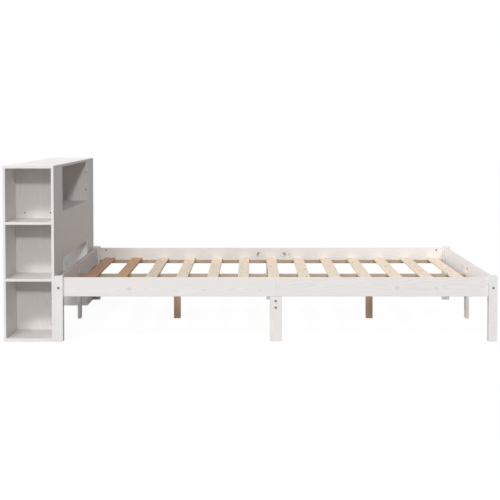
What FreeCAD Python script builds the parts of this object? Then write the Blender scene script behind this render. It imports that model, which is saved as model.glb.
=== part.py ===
import FreeCAD, Part
import os
import re
import Sketcher

# A bed for a 1400 x 2000 mm mattress with a bookcase as its headboard, in boards of pine.
# Millimetres. +X runs from the head to the foot, -Y is the near side and +Z is up. The origin is
# on the floor, in the middle of the whole length and of the whole width.

SIZES = [
    # The bed as a whole
    ("clear_length", 2000, "between the head posts and the foot legs"),
    ("clear_width", 1400, "between the two side rails"),

    # The bookcase
    ("case_depth", 240, "from the back to the front"),
    ("case_height", 827, "from the floor to the top"),
    ("case_board", 12.5, "thickness of its boards"),
    ("bottom_board", 15, "thickness of the boards on the floor of each tower"),
    ("tower_width", 275, "width of each tower, its divider included"),
    ("lower_shelf_top", 296, "height of the lower shelves"),
    ("upper_shelf_top", 563, "height of the upper shelves"),
    ("niche_floor", 595, "height of the niche's floor"),
    ("panel_bottom", 368, "height of the centre boards' lower edges"),
    ("case_edge", 1, "rounding of the bookcase's edges"),

    # Legs and rails
    ("leg_side", 40, "side of the square posts and legs"),
    ("leg_height", 310, "height of the posts and legs"),
    ("rail_thickness", 18, "thickness of the rails"),
    ("rail_height", 90, "height of the rails"),
    ("rail_drop", 8, "from the top of a leg down to the rail"),
    ("rail_setback", 9.5, "from the outer face of a leg in to the rail"),
    ("frame_edge", 1.5, "rounding of the frame's edges"),

    # Middle legs, below the rails
    ("mid_leg_width", 56, "width of the middle legs, along the rail"),
    ("mid_leg_thickness", 16, "thickness of the middle legs"),
    ("side_block_depth", 25, "blocks behind the side middle legs"),
    ("side_block_height", 90, "blocks behind the side middle legs"),
    ("end_block_depth", 40, "blocks behind the head and foot middle legs"),
    ("end_block_height", 110, "blocks behind the head and foot middle legs"),

    # What carries the slats
    ("ledge_height", 18, "strips that carry the ends of the slats"),
    ("ledge_depth", 20, "strips that carry the ends of the slats"),
    ("ledge_lift", 3, "from the lower edge of the rail up to the strip"),
    ("beam_width", 35, "centre beam"),
    ("beam_height", 45, "centre beam"),
    ("beam_seat", 22, "length of the beam's end that lies in its block"),
    ("beam_play", 0.5, "gap beside and behind the beam's end"),
    ("splice_length", 200, "board below the joint of the beam's halves"),
    ("splice_thickness", 18, "board below the joint of the beam's halves"),
    ("centre_leg_side", 35, "square legs below the centre beam"),

    # Slats
    ("slat_count", 13, "number of slats"),
    ("slat_width", 57.5, "width of a slat"),
    ("slat_thickness", 12.5, "thickness of a slat"),
    ("slat_margin", 33, "from a post to the first slat"),
    ("slat_play", 1, "gap between a slat's end and the rail"),
    ("slat_edge", 1.5, "rounding of the slats' edges"),

    # Countersunk wood screws
    ("screw_radius", 1.75, "shank"),
    ("screw_head", 3.5, "radius of the head"),
    ("screw_cone", 2, "height of the head"),
    ("screw_drive", 4, "length of the two slots of the driver's cross"),
    ("screw_slot", 0.9, "width of the two slots of the driver's cross"),
    ("case_screw_length", 35, "screws of the bookcase"),
    ("screw_clear", 2.5, "from the tip of a slat's screw to the ledge's underside"),
    ("hole_play", 0.1, "gap around screws, bolts and nuts"),

    # Bolts and their barrel nuts
    ("bolt_radius", 3, "shank"),
    ("bolt_head", 6, "radius of the head"),
    ("bolt_head_height", 4, "height of the head"),
    ("bolt_key", 2.5, "radius of the hexagon socket, to its corners"),
    ("bolt_sunk", 1, "from the wood's face down to the head"),
    ("head_play", 0.5, "gap around a sunk head"),
    ("bolt_tip", 4.5, "length of a long bolt past its barrel nut"),
    ("bolt_clear", 2, "from the tip of a short bolt to the back of its block"),
    ("nut_radius", 5, "barrel nuts"),
    ("nut_length", 12, "barrel nuts"),
    ("nut_slot", 1.5, "width and depth of a barrel nut's driver slot"),
    ("nut_reach", 36.5, "from a leg's inner face to the barrel nut"),
    ("side_bolt_drop", 13, "from the top of a side rail down to its bolts"),
    ("end_bolt_lift", 41, "from the lower edge of an end rail up to its bolts"),

    # Joints between the halves of the rails
    ("joint_lift", 48, "from the lower edge of a rail up to the rod"),
    ("joint_reach", 70, "from the joint to the middle of a pocket"),
    ("pocket_radius", 16, "round pockets in the rails' inner faces"),
    ("moon_play", 0.5, "gap around a half-moon washer"),
    ("hex_play", 0.3, "gap below a hexagon nut"),
    ("hex_radius", 5.7, "hexagon nuts, to their corners"),
    ("hex_thickness", 5, "hexagon nuts"),
    ("rod_tail", 4, "length of the rod past its nut"),

    # Where the screws and bolts go
    ("outer_screw", 55, "from the bookcase's side to the outer shelf screws"),
    ("inner_screw", 44.5, "from the divider to the inner shelf screws"),
    ("divider_screw_low", 75, "from the floor up to the lowest screw into a divider"),
    ("divider_screw_lift", 29, "from the centre board up to the middle screw into a divider"),
    ("divider_screw_drop", 107, "from the bookcase's top down to the highest screw into a divider"),
    ("niche_screw", 57, "from the bookcase's faces to the screws of the niche's floor"),
    ("jamb_screws", 96, "between the two screws beside the niche"),
    ("mid_bolts", 31, "between the two bolts of a middle leg"),
    ("side_mid_drop", 22, "from the top of a side middle leg down to its upper bolt"),
    ("end_mid_drop", 18, "from the centre beam down to the upper bolt of an end middle leg"),
    ("case_bolt_lift", 80, "from the floor up to the lower bolt into a head post"),
    ("case_bolt_drop", 110, "from the top of a head post down to its upper bolt"),
    ("splice_screw", 60, "from the beam's joint to the screws of the splice"),
]

# Lengths and places that follow from the sizes.
DERIVED = {
    "overall_length": "case_depth + 2*leg_side + clear_length",
    "overall_width": "clear_width + 2*(rail_setback + rail_thickness)",
    "half_width": "overall_width/2",
    "case_back": "-overall_length/2",
    "case_front": "case_back + case_depth",
    "bed_head": "case_front",
    "bed_foot": "overall_length/2",
    "bed_middle": "bed_head + leg_side + clear_length/2",
    "tower_inside": "tower_width - case_board",
    "divider_middle": "tower_width - case_board/2",
    "case_inside": "case_depth - 2*case_board",
    "centre_width": "overall_width - 2*tower_width",
    "boards_height": "case_height - case_board",
    "niche_middle": "(niche_floor + boards_height)/2",
    "front_middle": "case_front - case_board/2",
    "rail_bottom": "leg_height - rail_drop - rail_height",
    "rail_middle": "rail_setback + rail_thickness/2",
    "rail_inner": "rail_setback + rail_thickness",
    "side_half_length": "clear_length/2",
    "end_half_length": "overall_width/2 - leg_side",
    "ledge_bottom": "rail_bottom + ledge_lift",
    "slat_bottom": "ledge_bottom + ledge_height",
    "slat_length": "clear_width - 2*slat_play",
    "slat_pitch": "(clear_length - 2*slat_margin - slat_width)/(slat_count - 1)",
    "first_slat": "bed_head + leg_side + slat_margin",
    "beam_bottom": "slat_bottom - beam_height",
    "beam_start": "rail_inner + end_block_depth - beam_seat",
    "beam_half_length": "leg_side + clear_length/2 - beam_start",
    "centre_leg_place": "(rail_inner + leg_side + side_half_length)/2",
    "notch_depth": "beam_seat + beam_play",
    "notch_width": "beam_width + 2*beam_play",
    "mid_leg_setback": "rail_middle - mid_leg_thickness/2",
    "side_block_top": "ledge_bottom",
    "end_block_top": "slat_bottom",
    "sunk_head": "bolt_sunk + bolt_head_height",
    "long_bolt_length": "leg_side + nut_reach + nut_radius + bolt_tip - bolt_sunk",
    "short_bolt_length": "mid_leg_thickness + side_block_depth - bolt_sunk - bolt_clear",
    "slat_screw_length": "slat_thickness + ledge_height - screw_clear",
    "side_bolt_height": "rail_bottom + rail_height - side_bolt_drop",
    "end_bolt_height": "rail_bottom + end_bolt_lift",
    "joint_height": "rail_bottom + joint_lift",
    "moon_radius": "pocket_radius - moon_play",
    "moon_thickness": "2*(hex_radius + hex_play)",
    "pocket_depth": "(rail_thickness + moon_thickness)/2",
    "rod_length": "2*(joint_reach + hex_thickness + rod_tail)",
}

NEAR_FAR = ("near", "far")
HEAD_FOOT = ("head", "foot")
OUTWARD = {
    "near": FreeCAD.Vector(0, -1, 0),
    "far": FreeCAD.Vector(0, 1, 0),
    "head": FreeCAD.Vector(-1, 0, 0),
    "foot": FreeCAD.Vector(1, 0, 0),
}
UP = FreeCAD.Vector(0, 0, 1)
BACKWARD = FreeCAD.Vector(-1, 0, 0)
FORWARD = FreeCAD.Vector(1, 0, 0)

doc = FreeCAD.newDocument("BookcaseBed")
sheet = doc.addObject("Spreadsheet::Sheet", "Sizes")
for row, (alias, value, note) in enumerate(SIZES, start=1):
    sheet.set(f"A{row}", f"{alias}: {note}")
    sheet.set(f"B{row}", str(value))
    sheet.setAlias(f"B{row}", alias)
doc.recompute()

nodes = []
corners = {}
fixings = {}


# ---------------------------------------------------------------- formulas and places

def formula(text):
    """Write a sum of plain words as an expression on the sheet's cells."""
    def cell(match):
        word = match.group()
        if word in DERIVED:
            return f"({formula(DERIVED[word])})"
        return f"Sizes.{word}"
    return re.sub(r"[a-z]\w*", cell, text)


def bind(thing, name, text):
    thing.setExpression(name, formula(text))


def put(thing, point, corner=("0", "0", "0")):
    """Place a thing at a point, seen from a corner."""
    for axis, reach, start in zip("xyz", point, corner):
        bind(thing, f"Placement.Base.{axis}", f"({reach}) - ({start})")


def turn(thing, facing, along=None):
    """Turn a thing's +Z to the facing direction and, where it matters, its +X along another."""
    if along is None:
        rotation = FreeCAD.Rotation(UP, facing)
    else:
        rotation = FreeCAD.Rotation(along, facing.cross(along), facing, "ZXY")
    thing.Placement = FreeCAD.Placement(FreeCAD.Vector(), rotation)


def across(side, offset, width="0"):
    """The lower Y of a piece of this width, its offset taken from the near or the far side."""
    if side == "near":
        return f"-half_width + {offset}"
    return f"half_width - ({offset}) - ({width})"


def along_bed(end, offset, depth="0"):
    """The lower X of a piece of this depth, its offset taken from the bed's head or its foot."""
    if end == "head":
        return f"bed_head + {offset}"
    return f"bed_foot - ({offset}) - ({depth})"


# ---------------------------------------------------------------- wood

def origin_plane(body, role):
    return [plane for plane in body.Origin.OriginFeatures if plane.Role == role][0]


def rectangle(body, length, width):
    """A sketch on the ground plane: a rectangle that starts at the body's own corner."""
    sketch = body.newObject("Sketcher::SketchObject", f"{body.Name}_outline")
    sketch.AttachmentSupport = [(origin_plane(body, "XY_Plane"), "")]
    sketch.MapMode = "FlatFace"
    points = [FreeCAD.Vector(x, y, 0) for x, y in ((0, 0), (2, 0), (2, 1), (0, 1))]
    for start, end in zip(points, points[1:] + points[:1]):
        sketch.addGeometry(Part.LineSegment(start, end))
    for side in range(4):
        sketch.addConstraint(Sketcher.Constraint("Coincident", side, 2, (side + 1) % 4, 1))
        sketch.addConstraint(Sketcher.Constraint("Vertical" if side % 2 else "Horizontal", side))
    sketch.addConstraint(Sketcher.Constraint("Coincident", 0, 1, -1, 1))
    for name, kind, line, size in (("length", "DistanceX", 0, length), ("width", "DistanceY", 1, width)):
        number = sketch.addConstraint(Sketcher.Constraint(kind, line, 1, line, 2, 1.0))
        sketch.renameConstraint(number, name)
        bind(sketch, f"Constraints.{name}", size)
    return sketch


def board(label, size, corner, edge, exported=True):
    """A planed board: a rectangle padded upwards, with all its edges rounded."""
    body = doc.addObject("PartDesign::Body", label)
    body.Label = label
    pad = body.newObject("PartDesign::Pad", f"{label}_pad")
    pad.Profile = rectangle(body, size[0], size[1])
    bind(pad, "Length", size[2])
    fillet = body.newObject("PartDesign::Fillet", f"{label}_edges")
    fillet.Base = (pad, [""])
    fillet.UseAllEdges = True
    bind(fillet, "Radius", edge)
    put(body, corner)
    corners[label] = corner
    if exported:
        nodes.append(body)
    return body


def drill(body, facing, point, radius, depth):
    """Bore a hole from a point on the surface, against the direction that the surface faces."""
    bore = body.newObject("PartDesign::SubtractiveCylinder", f"{body.Name}_bore")
    turn(bore, -facing)
    put(bore, point, corners.get(body.Name, ("0", "0", "0")))
    bind(bore, "Radius", radius)
    bind(bore, "Height", depth)


def countersink(body, facing, point):
    """Cut the seat of a countersunk head, flush with the surface."""
    cone = body.newObject("PartDesign::SubtractiveCone", f"{body.Name}_countersink")
    turn(cone, -facing)
    put(cone, point, corners[body.Name])
    bind(cone, "Radius1", "screw_head")
    bind(cone, "Radius2", "screw_radius")
    bind(cone, "Height", "screw_cone")


# ---------------------------------------------------------------- fixings

def moved(point, facing, distance):
    """The point moved by a distance along the facing direction."""
    return tuple(f"({start}) + ({distance})*({int(way)})" for start, way in zip(point, facing))


def screw(kind, facing, point, outer, inner=None):
    """Screw a board onto the piece behind it, through its face."""
    countersink(outer, facing, point)
    for body in (outer, inner):
        if body is not None:
            drill(body, facing, point, "screw_radius + hole_play", f"{kind}_screw_length + hole_play")
    fixings.setdefault(kind, []).append((facing, point))


def bolt(kind, facing, point, outer, inner, sunk=True):
    """Bolt two pieces together. A sunk head lies in a round recess, any other stands proud."""
    if sunk:
        drill(outer, facing, point, "bolt_head + head_play", "sunk_head")
        top = moved(point, facing, "-bolt_sunk")
    else:
        top = moved(point, facing, "bolt_head_height")
    for body in (outer, inner):
        drill(body, facing, top, "bolt_radius + hole_play", f"{kind}_bolt_length + hole_play")
    fixings.setdefault(kind, []).append((facing, top))


def turned_piece(label):
    """A body for one screw, bolt, rod or nut, about its own +Z. Copies of it are placed."""
    return doc.addObject("PartDesign::Body", label)


def add_cylinder(body, radius, height, bottom):
    rod = body.newObject("PartDesign::AdditiveCylinder", f"{body.Name}_rod")
    bind(rod, "Radius", radius)
    bind(rod, "Height", height)
    bind(rod, "Placement.Base.z", bottom)


def hexagon(body, kind, radius, height, bottom):
    """Add or subtract a hexagonal bar."""
    bar = body.newObject(f"PartDesign::{kind}Prism", f"{body.Name}_hexagon")
    bar.Polygon = 6
    bind(bar, "Circumradius", radius)
    bind(bar, "Height", height)
    bind(bar, "Placement.Base.z", bottom)


def recess(body, along, across, depth, top="0"):
    """Cut a rectangular recess about a turned piece's axis, down from its top."""
    cut = body.newObject("PartDesign::SubtractiveBox", f"{body.Name}_recess")
    bind(cut, "Length", along)
    bind(cut, "Width", across)
    bind(cut, "Height", depth)
    put(cut, (f"-({along})/2", f"-({across})/2", f"{top} - ({depth})"))


def wood_screw(kind):
    """A countersunk screw with a cross recess, its head's flat top at the origin."""
    body = turned_piece(f"{kind}_screw")
    add_cylinder(body, "screw_radius", f"{kind}_screw_length - screw_cone", f"-{kind}_screw_length")
    head = body.newObject("PartDesign::AdditiveCone", f"{kind}_screw_cone")
    bind(head, "Radius1", "screw_radius")
    bind(head, "Radius2", "screw_head")
    bind(head, "Height", "screw_cone")
    bind(head, "Placement.Base.z", "-screw_cone")
    recess(body, "screw_drive", "screw_slot", "screw_cone/2")
    recess(body, "screw_slot", "screw_drive", "screw_cone/2")
    return body


def socket_bolt(kind):
    """A flat-headed bolt with a hexagon socket, its head's top at the origin."""
    body = turned_piece(f"{kind}_bolt")
    add_cylinder(body, "bolt_radius", f"{kind}_bolt_length - bolt_head_height", f"-{kind}_bolt_length")
    add_cylinder(body, "bolt_head", "bolt_head_height", "-bolt_head_height")
    hexagon(body, "Subtractive", "bolt_key", "bolt_head_height/2", "-bolt_head_height/2")
    return body


def barrel_nut():
    """A cross-bored cylinder, its middle at the origin and its bore and its slot along X."""
    body = turned_piece("barrel_nut")
    add_cylinder(body, "nut_radius", "nut_length", "-nut_length/2")
    drill(body, FORWARD, ("nut_radius", "0", "0"), "bolt_radius + hole_play", "2*nut_radius")
    recess(body, "2*nut_radius", "nut_slot", "nut_slot", "nut_length/2")
    return body


def joint_rod():
    body = turned_piece("joint_rod")
    add_cylinder(body, "bolt_radius", "rod_length", "-rod_length/2")
    return body


def half_moon():
    """Half a disc that lies in a pocket on the +X side, bored for the rod along X."""
    body = turned_piece("half_moon")
    add_cylinder(body, "moon_radius", "moon_thickness", "-moon_thickness/2")
    half = body.newObject("PartDesign::SubtractiveBox", "half_moon_cut")
    bind(half, "Length", "moon_radius")
    bind(half, "Width", "2*moon_radius")
    bind(half, "Height", "moon_thickness")
    put(half, ("-moon_radius", "-moon_radius", "-moon_thickness/2"))
    drill(body, FORWARD, ("moon_radius", "0", "0"), "bolt_radius + hole_play", "2*moon_radius")
    return body


def hexagon_nut():
    """A nut whose bearing face is at the origin, the rod's axis along Z."""
    body = turned_piece("hexagon_nut")
    hexagon(body, "Additive", "hex_radius", "hex_thickness", "0")
    drill(body, UP, ("0", "0", "hex_thickness"), "bolt_radius + hole_play", "hex_thickness")
    return body


def copies(template, places):
    """Linked copies of a piece, each at its own place: (facing, point) or (facing, point, along)."""
    links = []
    for number, (facing, point, *along) in enumerate(places, start=1):
        link = doc.addObject("App::Link", f"{template.Name}_{number}")
        link.LinkedObject = template
        link.LinkTransform = False
        turn(link, facing, *along)
        put(link, point)
        links.append(link)
    return links


def group(label, members):
    """One node that holds several separate pieces of the same kind."""
    compound = doc.addObject("Part::Compound", label)
    compound.Label = label
    compound.Links = members
    nodes.append(compound)


# ---------------------------------------------------------------- bookcase

def tower(side):
    """One end of the bookcase: three cubbies that open to the bed's side."""
    def piece(name, size, x, offset, z):
        return board(f"{name}_{side}", size, (x, across(side, offset, size[1]), z), "case_edge")

    tall = ("case_board", "tower_width", "boards_height")
    inside = "case_back + case_board"
    back = piece("back_board", tall, "case_back", "0", "0")
    stile = piece("front_stile", tall, "case_front - case_board", "0", "0")
    divider_size = ("case_inside", "case_board", "boards_height")
    divider = piece("divider", divider_size, inside, "tower_inside", "0")
    shelves = []
    for name, thickness, top in (("bottom_board", "bottom_board", "bottom_board"),
                                 ("lower_shelf", "case_board", "lower_shelf_top"),
                                 ("upper_shelf", "case_board", "upper_shelf_top")):
        size = ("case_inside", "tower_inside", thickness)
        shelf = piece(name, size, inside, "0", f"{top} - {thickness}")
        shelves.append((shelf, f"{top} - {thickness}/2"))

    for facing, x, outer in ((BACKWARD, "case_back", back), (FORWARD, "case_front", stile)):
        for shelf, height in shelves:
            for offset in ("outer_screw", "tower_inside - inner_screw"):
                screw("case", facing, (x, across(side, offset), height), outer, shelf)
        for height in ("divider_screw_low", "panel_bottom + divider_screw_lift",
                       "case_height - divider_screw_drop"):
            screw("case", facing, (x, across(side, "divider_middle"), height), outer, divider)

    for height in ("niche_middle - jamb_screws/2", "niche_middle + jamb_screws/2"):
        screw("case", -OUTWARD[side], ("front_middle", across(side, "tower_width"), height), stile)
    return stile, divider


def centre(dividers):
    """Between the towers: the niche's floor and the boards in front of it and behind it."""
    left = "-half_width + tower_width"
    board("centre_front_panel", ("case_board", "centre_width", "niche_floor - panel_bottom"),
          ("case_front - case_board", left, "panel_bottom"), "case_edge")
    board("centre_back_panel", ("case_board", "centre_width", "boards_height - panel_bottom"),
          ("case_back", left, "panel_bottom"), "case_edge")
    floor = board("niche_shelf", ("case_inside", "centre_width", "case_board"),
                  ("case_back + case_board", left, "niche_floor - case_board"), "case_edge")
    for side, divider in zip(NEAR_FAR, dividers):
        for x in ("case_back + niche_screw", "case_front - niche_screw"):
            point = (x, across(side, "tower_inside"), "niche_floor - case_board/2")
            screw("case", OUTWARD[side], point, divider, floor)
    board("bookcase_top", ("case_depth", "overall_width", "case_board"),
          ("case_back", "-half_width", "boards_height"), "case_edge")


# ---------------------------------------------------------------- legs and rails

def leg(end, side):
    name = {"head": "head_post", "foot": "foot_leg"}[end]
    corner = (along_bed(end, "0", "leg_side"), across(side, "0", "leg_side"), "0")
    return board(f"{name}_{side}", ("leg_side", "leg_side", "leg_height"), corner, "frame_edge")


def side_rail(end, side, post):
    """Half of a side rail, from a post to the joint, bolted along its length."""
    length = "side_half_length"
    corner = (along_bed(end, "leg_side", length), across(side, "rail_setback", "rail_thickness"),
              "rail_bottom")
    rail = board(f"side_rail_{side}_{end}", (length, "rail_thickness", "rail_height"), corner, "frame_edge")
    y = across(side, "rail_middle")
    bolt("long", OUTWARD[end], (along_bed(end, "0"), y, "side_bolt_height"), post, rail)
    nut = (along_bed(end, "leg_side + nut_reach"), y, "side_bolt_height")
    seat_nut(rail, -OUTWARD[side], nut, OUTWARD[end])
    pocket = (along_bed(end, f"leg_side + {length} - joint_reach"), y, "joint_height")
    joint = ("bed_middle", y, "joint_height")
    open_pocket(rail, -OUTWARD[side], pocket, joint, -OUTWARD[end])


def end_rail(end, side, post):
    """Half of the head or foot rail, from a post to the joint, bolted along its length."""
    length = "end_half_length"
    corner = (along_bed(end, "rail_setback", "rail_thickness"), across(side, "leg_side", length),
              "rail_bottom")
    rail = board(f"{end}_rail_{side}", ("rail_thickness", length, "rail_height"), corner, "frame_edge")
    x = along_bed(end, "rail_middle")
    bolt("long", OUTWARD[side], (x, across(side, "0"), "end_bolt_height"), post, rail)
    nut = (x, across(side, "leg_side + nut_reach"), "end_bolt_height")
    seat_nut(rail, -OUTWARD[end], nut, OUTWARD[side])
    pocket = (x, across(side, f"leg_side + {length} - joint_reach"), "joint_height")
    joint = (x, "0", "joint_height")
    open_pocket(rail, -OUTWARD[end], pocket, joint, -OUTWARD[side])


def seat_nut(rail, inward, point, along):
    """Bore a rail's inner face for a barrel nut in the middle of the rail's thickness."""
    mouth = moved(point, inward, "rail_thickness/2")
    drill(rail, inward, mouth, "nut_radius + hole_play", "(rail_thickness + nut_length)/2 + hole_play")
    fixings.setdefault("barrel", []).append((inward, point, along))


def open_pocket(rail, inward, point, joint, towards):
    """Cut the pocket of a rail's joint and the bore of its rod, and seat the washer and the nut."""
    drill(rail, inward, moved(point, inward, "rail_thickness/2"), "pocket_radius", "pocket_depth")
    drill(rail, towards, joint, "bolt_radius + hole_play", "joint_reach")
    fixings.setdefault("moon", []).append((inward, point, towards))
    fixings.setdefault("hex", []).append((-towards, point))


def middle_leg(name, place):
    """A board that stands below a rail's joint, bolted to a block behind it."""
    is_side = place in NEAR_FAR
    kind, measured, middle = ("side", across, "bed_middle") if is_side else ("end", along_bed, "0")

    def ground(across_rail, along_rail):
        """Two values on the ground, in the order of X and Y."""
        return (along_rail, across_rail) if is_side else (across_rail, along_rail)

    def piece(label, offset, depth, bottom, height, exported):
        corner = (*ground(measured(place, offset, depth), f"{middle} - mid_leg_width/2"), bottom)
        return board(label, (*ground(depth, "mid_leg_width"), height), corner, "frame_edge", exported)

    stand = piece(name, "mid_leg_setback", "mid_leg_thickness", "0", "rail_bottom", True)
    block = piece(f"{name}_block", "mid_leg_setback + mid_leg_thickness", f"{kind}_block_depth",
                  f"{kind}_block_top - {kind}_block_height", f"{kind}_block_height", False)
    upper = "rail_bottom - side_mid_drop" if is_side else "beam_bottom - end_mid_drop"
    for height in (upper, f"{upper} - mid_bolts"):
        bolt("short", OUTWARD[place], (*ground(measured(place, "mid_leg_setback"), middle), height),
             stand, block)
    return block


def notch(block, end):
    """Cut the seat of the centre beam's end into a block."""
    seat = block.newObject("PartDesign::SubtractiveBox", f"{block.Name}_seat")
    bind(seat, "Length", "notch_depth")
    bind(seat, "Width", "notch_width")
    bind(seat, "Height", "beam_height")
    corner = (along_bed(end, "beam_start - beam_play", "notch_depth"), "-notch_width/2", "beam_bottom")
    put(seat, corner, corners[block.Name])


# ---------------------------------------------------------------- beam, ledges and slats

def beam_half(end):
    """Half of the centre beam, bolted to the square leg below its middle."""
    beam = board(f"centre_beam_{end}", ("beam_half_length", "beam_width", "beam_height"),
                 (along_bed(end, "beam_start", "beam_half_length"), "-beam_width/2", "beam_bottom"),
                 "slat_edge")
    side = "centre_leg_side"
    prop = board(f"centre_leg_{end}", (side, side, "beam_bottom"),
                 (along_bed(end, f"centre_leg_place - {side}/2", side), f"-{side}/2", "0"), "slat_edge")
    bolt("long", UP, (along_bed(end, "centre_leg_place"), "0", "slat_bottom"), beam, prop)
    return beam


def splice(beams):
    """The board below the joint of the beam's halves, screwed to both."""
    bottom = "beam_bottom - splice_thickness"
    plate = board("beam_splice", ("splice_length", "beam_width", "splice_thickness"),
                  ("bed_middle - splice_length/2", "-beam_width/2", bottom), "slat_edge")
    for beam, way in zip(beams, "-+"):
        screw("slat", -UP, (f"bed_middle {way} splice_screw", "0", bottom), plate, beam)


def ledge(side):
    """The strip along a side rail's inner face."""
    corner = ("bed_head + leg_side", across(side, "rail_inner", "ledge_depth"), "ledge_bottom")
    return board(f"slat_ledge_{side}", ("clear_length", "ledge_depth", "ledge_height"), corner, "slat_edge")


def slat(number, ledges):
    """A slat, screwed to the ledge at both ends."""
    start = f"first_slat + {number}*slat_pitch"
    plank = board(f"slat_{number + 1:02d}", ("slat_width", "slat_length", "slat_thickness"),
                  (start, "-slat_length/2", "slat_bottom"), "slat_edge")
    for side, strip in zip(NEAR_FAR, ledges):
        point = (f"{start} + slat_width/2", across(side, "rail_inner + ledge_depth/2"),
                 "slat_bottom + slat_thickness")
        screw("slat", UP, point, plank, strip)


# ---------------------------------------------------------------- the whole bed

stiles, dividers = zip(*[tower(side) for side in NEAR_FAR])
centre(dividers)

posts = {(end, side): leg(end, side) for end in HEAD_FOOT for side in NEAR_FAR}
for side in NEAR_FAR:
    for end in HEAD_FOOT:
        side_rail(end, side, posts[end, side])
for end in HEAD_FOOT:
    for side in NEAR_FAR:
        end_rail(end, side, posts[end, side])
for side, stile in zip(NEAR_FAR, stiles):
    for height in ("case_bolt_lift", "leg_height - case_bolt_drop"):
        point = ("case_front - case_board", across(side, "leg_side/2"), height)
        bolt("short", BACKWARD, point, stile, posts["head", side], sunk=False)

group("side_leg_blocks", [middle_leg(f"side_mid_leg_{side}", side) for side in NEAR_FAR])
end_blocks = [middle_leg(f"{end}_mid_leg", end) for end in HEAD_FOOT]
for end, block in zip(HEAD_FOOT, end_blocks):
    notch(block, end)
group("end_leg_blocks", end_blocks)
splice([beam_half(end) for end in HEAD_FOOT])
ledges = [ledge(side) for side in NEAR_FAR]
for number in range(int(sheet.slat_count)):
    slat(number, ledges)

group("case_screws", copies(wood_screw("case"), fixings["case"]))
group("slat_screws", copies(wood_screw("slat"), fixings["slat"]))
group("leg_bolts", copies(socket_bolt("long"), fixings["long"]))
group("short_bolts", copies(socket_bolt("short"), fixings["short"]))
group("barrel_nuts", copies(barrel_nut(), fixings["barrel"]))
rods = [(FORWARD, ("bed_middle", across(side, "rail_middle"), "joint_height")) for side in NEAR_FAR]
rods += [(OUTWARD["far"], (along_bed(end, "rail_middle"), "0", "joint_height")) for end in HEAD_FOOT]
group("rail_joint_hardware", copies(joint_rod(), rods) + copies(half_moon(), fixings["moon"])
      + copies(hexagon_nut(), fixings["hex"]))

doc.recompute()


# ---------------------------------------------------------------- checks and files

def check(thing):
    if "Invalid" in thing.State or "Error" in thing.State:
        raise RuntimeError(f"{thing.Label} failed: {thing.State}")
    if thing.TypeId.startswith("PartDesign::Subtractive"):
        if thing.Shape.Volume > thing.BaseFeature.Shape.Volume - 1e-3:
            raise RuntimeError(f"{thing.Label} cuts nothing")


for thing in doc.Objects:
    check(thing)

os.makedirs("parts", exist_ok=True)
for node in nodes:
    if node.Shape.isNull() or not node.Shape.isValid() or not node.Shape.Solids:
        raise RuntimeError(f"{node.Label} has no valid shape")
    node.Shape.exportStep(f"parts/{node.Label}.step")

box = Part.makeCompound([node.Shape for node in nodes]).BoundBox
print(f"{len(nodes)} pieces, {box.XLength:.1f} x {box.YLength:.1f} x {box.ZLength:.1f} mm")
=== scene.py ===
"""Finishes, light and camera for a pine bed with a bookcase as its headboard."""

import math

import bpy
from bpy.props import FloatProperty, FloatVectorProperty, PointerProperty
from bpy.types import Operator, Panel, PropertyGroup
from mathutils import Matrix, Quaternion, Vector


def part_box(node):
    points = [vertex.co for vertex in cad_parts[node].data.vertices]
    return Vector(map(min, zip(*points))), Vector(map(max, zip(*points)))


bl_info = {
    "name": "Bookcase Bed",
    "version": (1, 0, 0),
    "blender": (4, 5, 0),
    "location": "View3D > Sidebar > Bookcase Bed",
    "description": "Finishes, light and camera for a pine bed with a bookcase as its headboard",
    "category": "Object",
}

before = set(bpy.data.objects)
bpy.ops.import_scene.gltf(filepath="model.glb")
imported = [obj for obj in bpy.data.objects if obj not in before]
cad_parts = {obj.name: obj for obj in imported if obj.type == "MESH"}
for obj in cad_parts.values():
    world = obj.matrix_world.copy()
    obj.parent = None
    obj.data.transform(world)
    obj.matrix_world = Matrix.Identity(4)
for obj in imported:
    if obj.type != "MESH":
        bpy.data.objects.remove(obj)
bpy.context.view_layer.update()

NODES = sorted(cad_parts)
SIDES = ("near", "far")
ENDS = ("head", "foot")
MM = 1000  # millimetres in a metre


# ---------------------------------------------------------------- colours and nodes

WHITE = (1.0, 1.0, 1.0, 1.0)

# Sockets of a Mix node, whose names repeat: its share, its two numbers, its two colours, and its
# output for a mixed colour.
SHARE, NUMBER_A, NUMBER_B, COLOUR_A, COLOUR_B, MIXED_COLOUR = 0, 2, 3, 6, 7, 2


def linear(code, alpha=1.0):
    """An sRGB hex colour as linear red, green, blue and alpha."""
    values = [int(code[i:i + 2], 16) / 255 for i in (1, 3, 5)]
    return (*(v / 12.92 if v <= 0.04045 else ((v + 0.055) / 1.055) ** 2.4 for v in values), alpha)


def add(tree, kind, inputs=(), out=0, **settings):
    """Add a node with its settings, link or set its inputs, and return one output (None: the node)."""
    made = tree.nodes.new(kind)
    for name, value in settings.items():
        setattr(made, name, value)
    for key, value in (inputs.items() if isinstance(inputs, dict) else enumerate(inputs)):
        if isinstance(value, bpy.types.NodeSocket):
            tree.links.new(value, made.inputs[key])
        elif value is not None:
            made.inputs[key].default_value = value
    return made if out is None else made.outputs[out]


def empty_tree(owner):
    """The node tree of a material or a world, with nothing in it."""
    owner.use_nodes = True
    owner.node_tree.nodes.clear()
    return owner.node_tree


def new_material(name):
    """An empty material with its Principled shader: (material, tree, shader)."""
    material = bpy.data.materials.new(name)
    tree = empty_tree(material)
    shader = add(tree, "ShaderNodeBsdfPrincipled", out=None)
    add(tree, "ShaderNodeOutputMaterial", {"Surface": shader.outputs[0]}, out=None)
    return material, tree, shader


# ---------------------------------------------------------------- settings

COLOUR = {"subtype": "COLOR", "size": 4, "min": 0, "max": 1}


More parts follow.
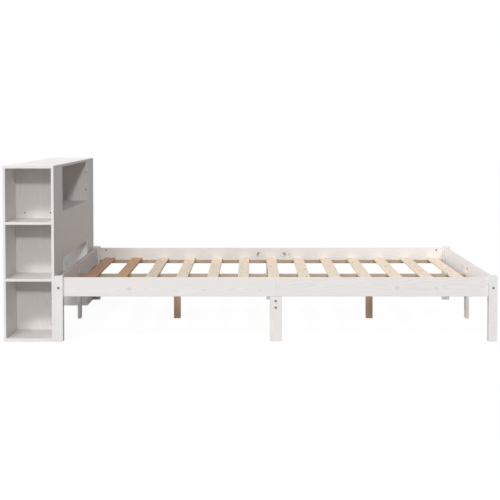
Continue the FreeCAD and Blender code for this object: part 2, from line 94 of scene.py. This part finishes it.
class PineSettings(PropertyGroup):
    """The timber, its two finishes, and the painted shade on some bare pieces."""
    wash: FloatVectorProperty(
        name="Wash", description="White wash over the pale spring wood",
        default=linear("#e9e6e4"), **COLOUR)
    washed_ring: FloatVectorProperty(
        name="Washed rings", description="White wash over the darker summer wood",
        default=linear("#ddd6d3"), **COLOUR)
    washed_knot: FloatVectorProperty(
        name="Washed knots", description="White wash over a knot",
        default=linear("#c4b3a9"), **COLOUR)
    pale: FloatVectorProperty(
        name="Spring wood", description="Pale wood of a planed board",
        default=linear("#f8ead9"), **COLOUR)
    ring: FloatVectorProperty(
        name="Summer wood", description="Darker wood at the end of each year's growth",
        default=linear("#ddc0a0"), **COLOUR)
    knot: FloatVectorProperty(
        name="Knots", description="Knots of a planed board",
        default=linear("#94623c"), **COLOUR)
    rim: FloatVectorProperty(
        name="Knot rims", description="Dark rim about a knot of a planed board",
        default=linear("#5d3a22"), **COLOUR)
    plain: FloatVectorProperty(
        name="No tint", description="Tint of the slats of plain sapwood",
        default=linear("#ffffff"), **COLOUR)
    # Painted shade: the first three slats are darker and browner where the bookcase's shadow falls on
    # them, the first two most.
    slat_1: FloatVectorProperty(
        name="First slat", description="Tint of the first slat, of brown painted_shade",
        default=linear("#d5b096"), **COLOUR)
    slat_2: FloatVectorProperty(
        name="Second slat", description="Tint of the second slat, of yellower painted_shade",
        default=linear("#d9ba9a"), **COLOUR)
    slat_3: FloatVectorProperty(
        name="Third slat", description="Tint of the third slat",
        default=linear("#faf5f1"), **COLOUR)
    # Painted shade: these darken the ledges, the centre beam and its splice, the centre legs and the
    # blocks, which lie in shade below the slats and rails.
    ledge: FloatVectorProperty(
        name="Ledges", description="Tint of the ledges that carry the slats",
        default=linear("#c8beb6"), **COLOUR)
    beam: FloatVectorProperty(
        name="Centre beam", description="Tint of the centre beam and its splice",
        default=linear("#c8c3bc"), **COLOUR)
    leg: FloatVectorProperty(
        name="Centre legs", description="Tint of the square legs and of the blocks",
        default=linear("#cdb9ac"), **COLOUR)
    ring_spacing: FloatProperty(
        name="Ring spacing", description="Growth of the tree in one year",
        subtype="DISTANCE", unit="LENGTH", min=0.001, max=0.02, default=0.0042)
    strip_width: FloatProperty(
        name="Strip width", description="Strips that are glued edge to edge into a wide board",
        subtype="DISTANCE", unit="LENGTH", min=0.02, max=0.3, default=0.068)


class SteelSettings(PropertyGroup):
    """The coatings of the fixings."""
    phosphate: FloatVectorProperty(
        name="Phosphate", description="Black coating of the bookcase's screws",
        default=linear("#2b2a2a"), **COLOUR)
    flake: FloatVectorProperty(
        name="Zinc flake", description="Dull coating of the bolts, barrel nuts and slats' screws",
        default=linear("#808183"), **COLOUR)
    plate: FloatVectorProperty(
        name="Zinc plate", description="Bright coating of the washers, rods and nuts in the rails",
        default=linear("#cfd0cf"), **COLOUR)
    zinc_roughness: FloatProperty(
        name="Zinc roughness", description="Roughness of zinc",
        subtype="FACTOR", min=0, max=1, default=0.4)
    phosphate_roughness: FloatProperty(
        name="Phosphate roughness", description="Roughness of phosphate",
        subtype="FACTOR", min=0, max=1, default=0.6)


class StageSettings(PropertyGroup):
    """Camera, floor and light."""
    camera_place: FloatVectorProperty(
        name="Camera", description="Place of the camera",
        subtype="TRANSLATION", unit="LENGTH", size=3, default=(0.0075, -6.535, 1.0133))
    camera_tilt: FloatProperty(
        name="Tilt", description="Angle by which the camera looks down",
        subtype="ANGLE", default=math.radians(2.6))
    camera_shift: FloatVectorProperty(
        name="Shift", description="Shift of the picture to the right and up, in picture widths",
        size=2, default=(-0.0038, -0.1352))
    lens: FloatProperty(
        name="Lens", description="Focal length on a 36 mm sensor",
        subtype="DISTANCE_CAMERA", unit="CAMERA", default=89.54)
    floor_size: FloatProperty(
        name="Floor", description="Side of the square floor",
        subtype="DISTANCE", unit="LENGTH", default=60)
    sky: FloatProperty(
        name="Room", description="Strength of the even light from the room", min=0, default=0.22)
    front: FloatProperty(
        name="Front", description="Strength of the low sun from the front", min=0, default=0.75)
    window: FloatProperty(
        name="Window", description="Power of the high window at the front left",
        subtype="POWER", unit="POWER", min=0, default=3300)
    high: FloatProperty(
        name="High", description="Strength of the high soft sun from the front",
        min=0, default=0.36)
    left: FloatProperty(
        name="Left", description="Strength of the low soft sun from the left", min=0, default=0.78)
    behind: FloatProperty(
        name="Behind", description="Strength of the soft sun from behind the bookcase",
        min=0, default=0.96)
    above: FloatProperty(
        name="Above", description="Power of the lamp above the head end",
        subtype="POWER", unit="POWER", min=0, default=45)


# ---------------------------------------------------------------- timber

GRAIN = "Pine grain"
WHOLE = 10.0  # metres: a strip wider than any board

# The trunk, in millimetres, with scales per millimetre. Three values are over the face, through the
# board and along the grain.
PLACES = (900, 700, 5000)  # how far apart in the trees two strips may be cut
GLUE_LINE = (0.1, 0.9)  # from the joint, where its groove is deepest and where it ends
PITH_OVER = (-26, 26)  # how far the middle of the tree lies beside that of the strip
PITH_BELOW = (22, 85)  # and how far below it
WANDER = 23  # how far the trunk wanders to each side
WANDER_SCALE = (0.011, 0.011, 0.0021)  # over 90 mm across it and half a metre along it
FIBRE_SCALE = (0.5, 0.5, 0.012)  # 2 mm across and 80 mm long
SEASONS = ((0.0, 0.0), (0.45, 0.18), (0.86, 1.0), (1.0, 0.0))  # time of year, darkness of its wood

# The knots, in millimetres: their cells and ovals are over the face and along the grain.
KNOT_CELL = (80, 260, 1)  # holds one knot at most
KNOT_OVAL = (80, 170, 1)  # shorter than the cell, so the knots are half as long again as wide
KNOT_RADIUS = (3.5, 9)  # from the smallest to the largest
KNOT_UNEVEN = 3.5  # how far a knot's outline strays to each side
KNOT_UNEVEN_SCALE = 0.12  # over 8 mm
BRANCH_RING = 1.7  # a branch grows more slowly than the trunk
EMPTY_CELLS = 0.55  # share of the cells that hold no knot
KNOT_PUSH = 2.4  # years by which a knot pushes the rings aside

# Distances from a knot's middle, in its own radii.
KNOT_FADE = (0.35, 1.25)  # where its brown begins to fade and where it has gone
KNOT_RIM = (0.85, 1.0)  # where its dark rim begins and where it is full
KNOT_REACH = (0.6, 3.2)  # where it pushes the rings aside in full and where it no longer does


def pine_grain():
    """Solid pine, shared by both finishes.

    Its Vector is in millimetres from the middle of the piece: Z along the grain, X over the face and
    Y through the board. The year rings are warped cylinders about a pith below the face, so the faces
    show long arches, the edges straight lines and the ends arcs, as sawn timber does.
    """
    tree = bpy.data.node_groups.new(GRAIN, "ShaderNodeTree")
    for name, kind in (("Vector", "Vector"), ("Piece", "Float"), ("Strip", "Float"), ("Ring", "Float")):
        tree.interface.new_socket(name, in_out="INPUT", socket_type=f"NodeSocket{kind}")
    for name in ("Rings", "Fibres", "Knots", "Rims", "Tone", "Joints"):
        tree.interface.new_socket(name, in_out="OUTPUT", socket_type="NodeSocketFloat")
    given = add(tree, "NodeGroupInput", out=None).outputs
    place = add(tree, "ShaderNodeSeparateXYZ", (given["Vector"],), out=None).outputs

    # Strips of timber, each from another tree.
    share = add(tree, "ShaderNodeMath", (place["X"], given["Strip"]), operation="DIVIDE")
    strip = add(tree, "ShaderNodeMath", (share,), operation="ROUND")
    key = add(tree, "ShaderNodeCombineXYZ", (strip, given["Piece"]))
    chance = add(tree, "ShaderNodeTexWhiteNoise", {"Vector": key}, out="Color", noise_dimensions="2D")
    chances = add(tree, "ShaderNodeSeparateXYZ", (chance,), out=None).outputs
    middle = add(tree, "ShaderNodeMath", (strip, given["Strip"]), operation="MULTIPLY")
    over = add(tree, "ShaderNodeMath", (place["X"], middle), operation="SUBTRACT")
    reach = add(tree, "ShaderNodeMath", (over,), operation="ABSOLUTE")
    half = add(tree, "ShaderNodeMath", (given["Strip"], 0.5), operation="MULTIPLY")
    to_joint = add(tree, "ShaderNodeMath", (half, reach), operation="SUBTRACT")
    joints = add(tree, "ShaderNodeMapRange", (to_joint, *GLUE_LINE, 1, 0))

    # The piece's own part of the tree.
    shift = add(tree, "ShaderNodeVectorMath", (chance, PLACES), operation="MULTIPLY")
    own = add(tree, "ShaderNodeVectorMath", (given["Vector"], shift), operation="ADD")

    # Knots: branches that pass through the board, seen as uneven ovals with a rim.
    owned = add(tree, "ShaderNodeSeparateXYZ", (own,), out=None).outputs
    face = add(tree, "ShaderNodeCombineXYZ", (owned["X"], owned["Z"]))
    cells = add(tree, "ShaderNodeVectorMath", (face, KNOT_CELL), operation="DIVIDE")
    voronoi = add(tree, "ShaderNodeTexVoronoi", {"Vector": cells, "Scale": 1.0, "Randomness": 0.7},
                  out=None, voronoi_dimensions="2D").outputs
    arm = add(tree, "ShaderNodeVectorMath", (cells, voronoi["Position"]), operation="SUBTRACT")
    arm = add(tree, "ShaderNodeVectorMath", (arm, KNOT_OVAL), operation="MULTIPLY")
    stray = add(tree, "ShaderNodeTexNoise", {"Vector": own, "Scale": KNOT_UNEVEN_SCALE, "Detail": 2.0},
                out="Color")
    arm = add(tree, "ShaderNodeVectorMath", (stray, (2 * KNOT_UNEVEN, 2 * KNOT_UNEVEN, 0), arm),
              operation="MULTIPLY_ADD")
    arm = add(tree, "ShaderNodeVectorMath", (arm, (KNOT_UNEVEN, KNOT_UNEVEN, 0)), operation="SUBTRACT")
    off = add(tree, "ShaderNodeVectorMath", (arm,), out="Value", operation="LENGTH")
    luck = add(tree, "ShaderNodeSeparateXYZ", (voronoi["Color"],), out=None).outputs
    there = add(tree, "ShaderNodeMath", (luck["X"], EMPTY_CELLS), operation="GREATER_THAN")
    size = add(tree, "ShaderNodeMapRange", (luck["Y"], 0, 1, *KNOT_RADIUS))
    size = add(tree, "ShaderNodeMath", (size, there), operation="MULTIPLY")
    size = add(tree, "ShaderNodeMath", (size, 0.01), operation="MAXIMUM")  # never divide by nothing
    ratio = add(tree, "ShaderNodeMath", (off, size), operation="DIVIDE")
    knots = add(tree, "ShaderNodeMapRange", (ratio, *KNOT_FADE, 1, 0), interpolation_type="SMOOTHSTEP")
    rims = add(tree, "ShaderNodeMapRange", (ratio, *KNOT_RIM, 0, 1), interpolation_type="SMOOTHSTEP")
    rims = add(tree, "ShaderNodeMath", (rims, knots), operation="MULTIPLY")
    push = add(tree, "ShaderNodeMapRange", (ratio, *KNOT_REACH, 1, 0), interpolation_type="SMOOTHSTEP")

    # Year rings about the pith, which wanders along the trunk. The knots push them aside, and inside
    # a knot they are the branch's own.
    slow = add(tree, "ShaderNodeVectorMath", (own, WANDER_SCALE), operation="MULTIPLY")
    warp = add(tree, "ShaderNodeTexNoise", {"Vector": slow, "Scale": 1.0, "Detail": 2.0}, out="Color")
    warp = add(tree, "ShaderNodeVectorMath", (warp, (2 * WANDER, 2 * WANDER, 0), (-WANDER, -WANDER, 0)),
               operation="MULTIPLY_ADD")
    pith_x = add(tree, "ShaderNodeMapRange", (chances["X"], 0, 1, *PITH_OVER))
    pith_y = add(tree, "ShaderNodeMapRange", (chances["Y"], 0, 1, *PITH_BELOW))
    pith = add(tree, "ShaderNodeCombineXYZ", (pith_x, pith_y))
    cut = add(tree, "ShaderNodeCombineXYZ", (over, place["Y"]))
    spoke = add(tree, "ShaderNodeVectorMath", (cut, pith), operation="ADD")
    spoke = add(tree, "ShaderNodeVectorMath", (spoke, warp), operation="ADD")
    radius = add(tree, "ShaderNodeVectorMath", (spoke,), out="Value", operation="LENGTH")
    year = add(tree, "ShaderNodeMath", (radius, given["Ring"]), operation="DIVIDE")
    year = add(tree, "ShaderNodeMath", (push, KNOT_PUSH, year), operation="MULTIPLY_ADD")
    branch = add(tree, "ShaderNodeMath", (off, BRANCH_RING), operation="DIVIDE")
    inside = add(tree, "ShaderNodeMath", (ratio, 1.0), operation="LESS_THAN")
    year = add(tree, "ShaderNodeMix", {SHARE: inside, NUMBER_A: year, NUMBER_B: branch},
               data_type="FLOAT")
    season = add(tree, "ShaderNodeMath", (year,), operation="FRACT")
    growth = add(tree, "ShaderNodeValToRGB", (season,), out=None)
    ramp = growth.color_ramp
    ramp.interpolation = "EASE"
    for position, _ in SEASONS[1:-1]:
        ramp.elements.new(position)
    for stop, (position, level) in zip(ramp.elements, SEASONS):
        stop.position, stop.color = position, (level, level, level, 1)

    # Fibres, ten times as coarse as real ones, so that they show in a render.
    long = add(tree, "ShaderNodeVectorMath", (own, FIBRE_SCALE), operation="MULTIPLY")
    fibres = add(tree, "ShaderNodeTexNoise",
                 {"Vector": long, "Scale": 1.0, "Detail": 3.0, "Roughness": 0.7})

    add(tree, "NodeGroupOutput", {
        "Rings": growth.outputs["Color"], "Fibres": fibres, "Knots": knots, "Rims": rims,
        "Tone": chances["Z"], "Joints": joints,
    }, out=None)
    return tree


def grain_in(tree, along, over, strip):
    """Place the grain in a material, turned along the piece's own grain, and return its outputs.

    Every piece says where its middle is and which number it has, so that no two look alike.
    """
    spot = add(tree, "ShaderNodeTexCoord", out="Object")
    middle = add(tree, "ShaderNodeAttribute", out="Vector", attribute_type="OBJECT",
                 attribute_name="middle")
    number = add(tree, "ShaderNodeAttribute", out="Fac", attribute_type="OBJECT",
                 attribute_name="number")
    spot = add(tree, "ShaderNodeVectorMath", (spot, middle), operation="SUBTRACT")
    spot = add(tree, "ShaderNodeVectorMath", (spot, (MM, MM, MM)), operation="MULTIPLY")
    parts = add(tree, "ShaderNodeSeparateXYZ", (spot,), out=None).outputs
    through = "XYZ".replace(along, "").replace(over, "")
    turned = add(tree, "ShaderNodeCombineXYZ", (parts[over], parts[through], parts[along]))
    ring = bpy.context.scene.bed_pine.ring_spacing
    inputs = {"Vector": turned, "Piece": number, "Strip": strip * MM, "Ring": ring * MM}
    return add(tree, "ShaderNodeGroup", inputs, out=None,
               node_tree=bpy.data.node_groups.get(GRAIN) or pine_grain()).outputs


def planed_surface(tree, shader, grain, colour, tones, dullest, glossiest, depth):
    """Give a pine its tone from strip to strip, and the roughness and relief of a planed board.

    Summer wood stands proud and shines a little more, and the glue lines lie lower.
    """
    tone = add(tree, "ShaderNodeMapRange", (grain["Tone"], 0, 1, *tones))
    colour = add(tree, "ShaderNodeVectorMath", {0: colour, "Scale": tone}, operation="SCALE")
    relief = add(tree, "ShaderNodeMath", (grain["Fibres"], 0.6, grain["Rings"]),
                 operation="MULTIPLY_ADD")
    relief = add(tree, "ShaderNodeMath", (grain["Joints"], -1.5, relief), operation="MULTIPLY_ADD")
    roughness = add(tree, "ShaderNodeMapRange", (relief, 0, 1.6, dullest, glossiest))
    bump = add(tree, "ShaderNodeBump", {"Strength": 0.5, "Distance": depth, "Height": relief})
    for name, value in (("Base Color", colour), ("Roughness", roughness), ("Normal", bump)):
        tree.links.new(value, shader.inputs[name])
    shader.inputs["IOR"].default_value = 1.5


def washed_pine(name, along, over, glued):
    """Knotty pine, planed, sanded and rolled with a thin white wash.

    The wash is dull and hides most of the figure: the summer wood shows as faint greyish pink lines,
    the knots as pale shadows, and the strips of a wide board differ slightly in tone.
    """
    pine = bpy.context.scene.bed_pine
    material, tree, shader = new_material(name)
    grain = grain_in(tree, along, over, pine.strip_width if glued else WHOLE)
    lines = add(tree, "ShaderNodeMath", (grain["Rings"], grain["Fibres"]), operation="MULTIPLY")
    rubbed = add(tree, "ShaderNodeMapRange", (grain["Fibres"], 0.35, 0.75, 0, 0.35))
    shadow = add(tree, "ShaderNodeMath", (grain["Rims"], 0.45, grain["Knots"]),
                 operation="MULTIPLY_ADD")
    shadow = add(tree, "ShaderNodeMath", (shadow, 0.42), operation="MULTIPLY")
    colour = tuple(pine.wash)
    for share, cover in ((lines, pine.washed_ring), (rubbed, pine.washed_ring),
                         (shadow, pine.washed_knot)):
        colour = add(tree, "ShaderNodeMix", {SHARE: share, COLOUR_A: colour, COLOUR_B: tuple(cover)},
                     out=MIXED_COLOUR, data_type="RGBA")
    planed_surface(tree, shader, grain, colour, tones=(0.98, 1.005),
                   dullest=0.66, glossiest=0.52, depth=0.00012)
    return material


def planed_pine(name, along, over):
    """Knotty pine, planed and left bare.

    Cream spring wood with orange-brown lines of summer wood, brown knots with a darker rim, and a
    dull surface. The colour is then multiplied by the painted shade that each piece carries, darker and
    browner on the pieces that lie in shade.
    """
    pine = bpy.context.scene.bed_pine
    material, tree, shader = new_material(name)
    grain = grain_in(tree, along, over, WHOLE)
    lines = add(tree, "ShaderNodeMath", (grain["Fibres"], 0.6, 0.35), operation="MULTIPLY_ADD")
    lines = add(tree, "ShaderNodeMath", (lines, grain["Rings"]), operation="MULTIPLY")
    rubbed = add(tree, "ShaderNodeMapRange", (grain["Fibres"], 0.3, 0.75, 0, 0.3))
    rims = add(tree, "ShaderNodeMath", (grain["Rims"], 0.5), operation="MULTIPLY")
    colour = tuple(pine.pale)
    for share, cover in ((lines, pine.ring), (rubbed, pine.ring), (grain["Knots"], pine.knot),
                         (rims, pine.rim)):
        colour = add(tree, "ShaderNodeMix", {SHARE: share, COLOUR_A: colour, COLOUR_B: tuple(cover)},
                     out=MIXED_COLOUR, data_type="RGBA")
    # Painted shade: the piece's colour is multiplied by it, darker and browner where the piece lies in
    # shade.
    tint = add(tree, "ShaderNodeAttribute", out="Color", attribute_type="OBJECT",
               attribute_name="tint")
    colour = add(tree, "ShaderNodeMix", {SHARE: 1.0, COLOUR_A: colour, COLOUR_B: tint},
                 out=MIXED_COLOUR, data_type="RGBA", blend_type="MULTIPLY")
    planed_surface(tree, shader, grain, colour, tones=(0.93, 1.03),
                   dullest=0.74, glossiest=0.55, depth=0.0002)
    return material


# ---------------------------------------------------------------- steel

CLOUD_SCALE = 400.0  # per metre: clouds of 2.5 mm
CRYSTAL_SCALE = 1800.0  # grains of 0.6 mm, far coarser than real ones, so that they show


def coated_steel(name, coating, metallic):
    """Cold-formed steel with a thin coating, which is cloudy: where it is thinner, it shines more.

    Zinc stays metallic, dull grey as flakes and paler as plate. Phosphate is a coat of fine crystals
    that scatter the light, so it is nearly black and dull, and not metallic.
    """
    steel = bpy.context.scene.bed_steel
    material, tree, shader = new_material(name)
    shader.inputs["Metallic"].default_value = metallic
    middling = steel.zinc_roughness if metallic else steel.phosphate_roughness
    spot = add(tree, "ShaderNodeTexCoord", out="Object")
    cloud = add(tree, "ShaderNodeTexNoise", {"Vector": spot, "Scale": CLOUD_SCALE, "Detail": 3.0})
    shade = add(tree, "ShaderNodeMapRange", (cloud, 0.3, 0.7, 0.86, 1.06))
    colour = add(tree, "ShaderNodeVectorMath", {0: tuple(getattr(steel, coating))[:3], "Scale": shade},
                 operation="SCALE")
    roughness = add(tree, "ShaderNodeMapRange", (cloud, 0.3, 0.7, middling - 0.1, middling + 0.1))
    marks = add(tree, "ShaderNodeTexNoise", {"Vector": spot, "Scale": CRYSTAL_SCALE, "Detail": 2.0})
    bump = add(tree, "ShaderNodeBump", {"Strength": 0.3, "Distance": 0.00005, "Height": marks})
    for socket, value in (("Base Color", colour), ("Roughness", roughness), ("Normal", bump)):
        tree.links.new(value, shader.inputs[socket])
    return material


# ---------------------------------------------------------------- putting on a finish

def dress(name, finish, make, *choices, tint=WHITE):
    """Give a piece its finish, and the middle, number and painted shade that the finish reads.

    Pieces share a finish by its name, and it is made for the first of them.
    """
    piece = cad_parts[name]
    low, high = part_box(name)
    piece["middle"] = list((low + high) / 2)
    piece["number"] = (NODES.index(name) + 1) / len(NODES)
    # Painted shade for the planed pieces in shade, white for the rest.
    piece["tint"] = list(tint)[:3]
    material = bpy.data.materials.get(finish) or make(finish, *choices)
    for place in piece.material_slots:
        place.material = material


def wash(name, along, over, glued=False):
    """White-wash a piece whose grain runs along one axis and whose faces are wide over another."""
    finish = f"White-washed pine {along}{over}{' glued' if glued else ''}"
    dress(name, finish, washed_pine, along, over, glued)


def plane(name, along, over, tint):
    """Plane a piece and leave it bare, with one of the colours of painted shade."""
    dress(name, f"Planed pine {along}{over}", planed_pine, along, over,
          tint=getattr(bpy.context.scene.bed_pine, tint))


def coat(name, coating, metallic=1.0):
    """Coat a group of fixings."""
    dress(name, f"Steel with {coating}", coated_steel, coating, metallic)


class BED_OT_bookcase(Operator):
    """Finish the boards of the bookcase: glued strips, upright in the towers and level elsewhere"""
    bl_idname = "bed.bookcase"
    bl_label = "Bookcase"

    def execute(self, context):
        for side in SIDES:
            for name in ("back_board", "front_stile"):
                wash(f"{name}_{side}", "Z", "Y", glued=True)
            wash(f"divider_{side}", "Z", "X", glued=True)
            for name in ("bottom_board", "lower_shelf", "upper_shelf"):
                wash(f"{name}_{side}", "X", "Y", glued=True)
        for name in ("bookcase_top", "niche_shelf"):
            wash(name, "Y", "X", glued=True)
        for name in ("centre_front_panel", "centre_back_panel"):
            wash(name, "Y", "Z", glued=True)
        return {"FINISHED"}


class BED_OT_posts_and_rails(Operator):
    """Finish the head posts, the foot legs and the rails between them"""
    bl_idname = "bed.posts_and_rails"
    bl_label = "Posts and rails"

    def execute(self, context):
        for side in SIDES:
            for name in ("head_post", "foot_leg"):
                wash(f"{name}_{side}", "Z", "X")
            for end in ENDS:
                wash(f"side_rail_{side}_{end}", "X", "Z")
                wash(f"{end}_rail_{side}", "Y", "Z")
        return {"FINISHED"}


class BED_OT_middle_legs(Operator):
    """Finish the legs below the middle of the rails, and the blocks behind them"""
    bl_idname = "bed.middle_legs"
    bl_label = "Middle legs"

    def execute(self, context):
        for side in SIDES:
            wash(f"side_mid_leg_{side}", "Z", "X")
        for end in ENDS:
            wash(f"{end}_mid_leg", "Z", "Y")
        # Painted shade darkens the blocks, which lie under the rails.
        plane("side_leg_blocks", "Z", "X", "leg")
        plane("end_leg_blocks", "Z", "Y", "leg")
        return {"FINISHED"}


class BED_OT_slats(Operator):
    """Finish the slats and the ledges that carry them"""
    bl_idname = "bed.slats"
    bl_label = "Slats"

    def execute(self, context):
        slats = [name for name in NODES if name.startswith("slat_") and name[5:].isdigit()]
        # Painted shade darkens and browns the first three slats where the bookcase's shadow falls.
        shaded_slats = ("slat_1", "slat_2", "slat_3")
        for number, name in enumerate(slats):
            plane(name, "Y", "X", shaded_slats[number] if number < len(shaded_slats) else "plain")
        for side in SIDES:
            # Painted shade darkens the ledges under the slats.
            plane(f"slat_ledge_{side}", "X", "Z", "ledge")
        return {"FINISHED"}


class BED_OT_centre_beam(Operator):
    """Finish the centre beam, its splice and its two square legs"""
    bl_idname = "bed.centre_beam"
    bl_label = "Centre beam"

    def execute(self, context):
        # Painted shade darkens the beam, its splice and the square legs under the slats.
        plane("beam_splice", "X", "Y", "beam")
        for end in ENDS:
            plane(f"centre_beam_{end}", "X", "Z", "beam")
            plane(f"centre_leg_{end}", "Z", "X", "leg")
        return {"FINISHED"}


class BED_OT_fixings(Operator):
    """Coat the screws, bolts, nuts, rods and washers"""
    bl_idname = "bed.fixings"
    bl_label = "Screws and bolts"

    def execute(self, context):
        coat("case_screws", "phosphate", metallic=0.0)
        for name in ("slat_screws", "leg_bolts", "short_bolts", "barrel_nuts"):
            coat(name, "flake")
        coat("rail_joint_hardware", "plate")
        return {"FINISHED"}


# ---------------------------------------------------------------- stage

FLOOR_DROP = -0.0005  # metres, so that the floor and the feet don't share a plane
FLOOR_GREY = (0.3, 0.3, 0.3, 1)  # the floor's own colour, which colours the light that it throws back
FLOOR_GLOW = 0.92  # share of plain white in the floor's look, the rest shows the shadow
GLOW_STRENGTH = 1.03  # makes up for what that rest is darker than white
SENSOR = 36  # millimetres

# Lamps: kind, place in metres, turn in degrees about the lamp's own axis, settings.
LAMPS = {
    "front": ("SUN", (0.15, -1, 0.325), 0, {"angle": math.radians(4)}),
    "window": ("AREA", (-5.41, -22.44, 18.72), 24.6,
               {"shape": "RECTANGLE", "size": 8.15, "size_y": 2.6}),
    "high": ("SUN", (-0.2, -0.54, 0.82), 0, {"angle": math.radians(20)}),
    "left": ("SUN", (-0.7, -0.7, 0.14), 0, {"angle": math.radians(20)}),
    "behind": ("SUN", (-0.81, 0.3, 0.5), 0, {"angle": math.radians(20)}),
    "above": ("AREA", (-3.2, 0, 4.2), 0, {"shape": "DISK", "size": 1.6}),
}


def seen(tree):
    """1 for rays from the camera, off a glossy surface or through a clear one, and otherwise 0."""
    path = add(tree, "ShaderNodeLightPath", out=None).outputs
    found = add(tree, "ShaderNodeMath", (path["Is Camera Ray"], path["Is Glossy Ray"]),
                operation="MAXIMUM")
    return add(tree, "ShaderNodeMath", (found, path["Is Transmission Ray"]), operation="MAXIMUM")


def white_room(strength):
    """The world: seen as white, with its own strength as light."""
    world = bpy.data.worlds.new("White room")
    bpy.context.scene.world = world
    tree = empty_tree(world)
    light = add(tree, "ShaderNodeBackground", {"Color": WHITE, "Strength": strength})
    white = add(tree, "ShaderNodeBackground", {"Color": WHITE, "Strength": 1.0})
    both = add(tree, "ShaderNodeMixShader", (seen(tree), light, white))
    add(tree, "ShaderNodeOutputWorld", {"Surface": both}, out=None)


def studio_floor(size):
    """A matt floor that is seen as white, with the bed's shadow faint on it."""
    bpy.ops.mesh.primitive_plane_add(size=size, location=(0, 0, FLOOR_DROP))
    floor = bpy.context.object
    floor.name = "studio_floor"
    material = bpy.data.materials.new("Matt studio floor")
    tree = empty_tree(material)
    look = seen(tree)
    colour = add(tree, "ShaderNodeMix", {SHARE: look, COLOUR_A: FLOOR_GREY, COLOUR_B: WHITE},
                 out=MIXED_COLOUR, data_type="RGBA")
    paint = add(tree, "ShaderNodeBsdfDiffuse", {"Color": colour})
    glow = add(tree, "ShaderNodeEmission", {"Color": WHITE, "Strength": GLOW_STRENGTH})
    share = add(tree, "ShaderNodeMath", (look, FLOOR_GLOW), operation="MULTIPLY")
    both = add(tree, "ShaderNodeMixShader", (share, paint, glow))
    add(tree, "ShaderNodeOutputMaterial", {"Surface": both}, out=None)
    floor.data.materials.append(material)


def add_lamp(name, kind, place, roll, power, settings):
    """A lamp that looks at the bed from a place, turned by an angle about its own axis."""
    data = bpy.data.lights.new(name, kind)
    data.energy = power
    for key, value in settings.items():
        setattr(data, key, value)
    lamp = bpy.data.objects.new(name, data)
    lamp.location = place
    lamp.rotation_mode = "QUATERNION"
    turn = Quaternion((0, 0, 1), math.radians(roll))
    lamp.rotation_quaternion = lamp.location.to_track_quat("Z", "Y") @ turn
    bpy.context.scene.collection.objects.link(lamp)


def add_camera(place, tilt, shift, lens):
    """The camera that sees the bed as the photograph does, from its near side."""
    data = bpy.data.cameras.new("camera")
    data.sensor_width = SENSOR
    data.lens = lens
    data.shift_x, data.shift_y = shift
    camera = bpy.data.objects.new("camera", data)
    camera.location = place
    camera.rotation_euler = (math.radians(90) - tilt, 0, 0)
    bpy.context.scene.collection.objects.link(camera)
    bpy.context.scene.camera = camera


class BED_OT_stage(Operator):
    """Set up the floor, the white room, the lamps and the camera"""
    bl_idname = "bed.stage"
    bl_label = "Stage"

    def execute(self, context):
        stage = context.scene.bed_stage
        white_room(stage.sky)
        studio_floor(stage.floor_size)
        for name, (kind, place, roll, settings) in LAMPS.items():
            add_lamp(name, kind, place, roll, getattr(stage, name), settings)
        add_camera(stage.camera_place, stage.camera_tilt, stage.camera_shift, stage.lens)
        context.scene.view_settings.view_transform = "Standard"
        return {"FINISHED"}


class BED_PT_panel(Panel):
    """Lists the bed's operators and settings"""
    bl_idname = "BED_PT_panel"
    bl_label = "Bookcase Bed"
    bl_space_type = "VIEW_3D"
    bl_region_type = "UI"
    bl_category = "Bookcase Bed"

    def draw(self, context):
        for operator in OPERATORS:
            self.layout.operator(operator.bl_idname)
        for name, kind in GROUPS.items():
            box = self.layout.box()
            for setting in kind.__annotations__:
                box.prop(getattr(context.scene, name), setting)


# ---------------------------------------------------------------- add-on

GROUPS = {"bed_pine": PineSettings, "bed_steel": SteelSettings, "bed_stage": StageSettings}
OPERATORS = (BED_OT_bookcase, BED_OT_posts_and_rails, BED_OT_middle_legs, BED_OT_slats,
             BED_OT_centre_beam, BED_OT_fixings, BED_OT_stage)
CLASSES = (*GROUPS.values(), *OPERATORS, BED_PT_panel)


def register():
    for item in CLASSES:
        bpy.utils.register_class(item)
    for name, group in GROUPS.items():
        setattr(bpy.types.Scene, name, PointerProperty(type=group))


def unregister():
    for name in GROUPS:
        delattr(bpy.types.Scene, name)
    for item in reversed(CLASSES):
        bpy.utils.unregister_class(item)


def main():
    register()
    for operator in OPERATORS:
        group, name = operator.bl_idname.split(".")
        getattr(getattr(bpy.ops, group), name)()


if __name__ == "__main__":
    main()
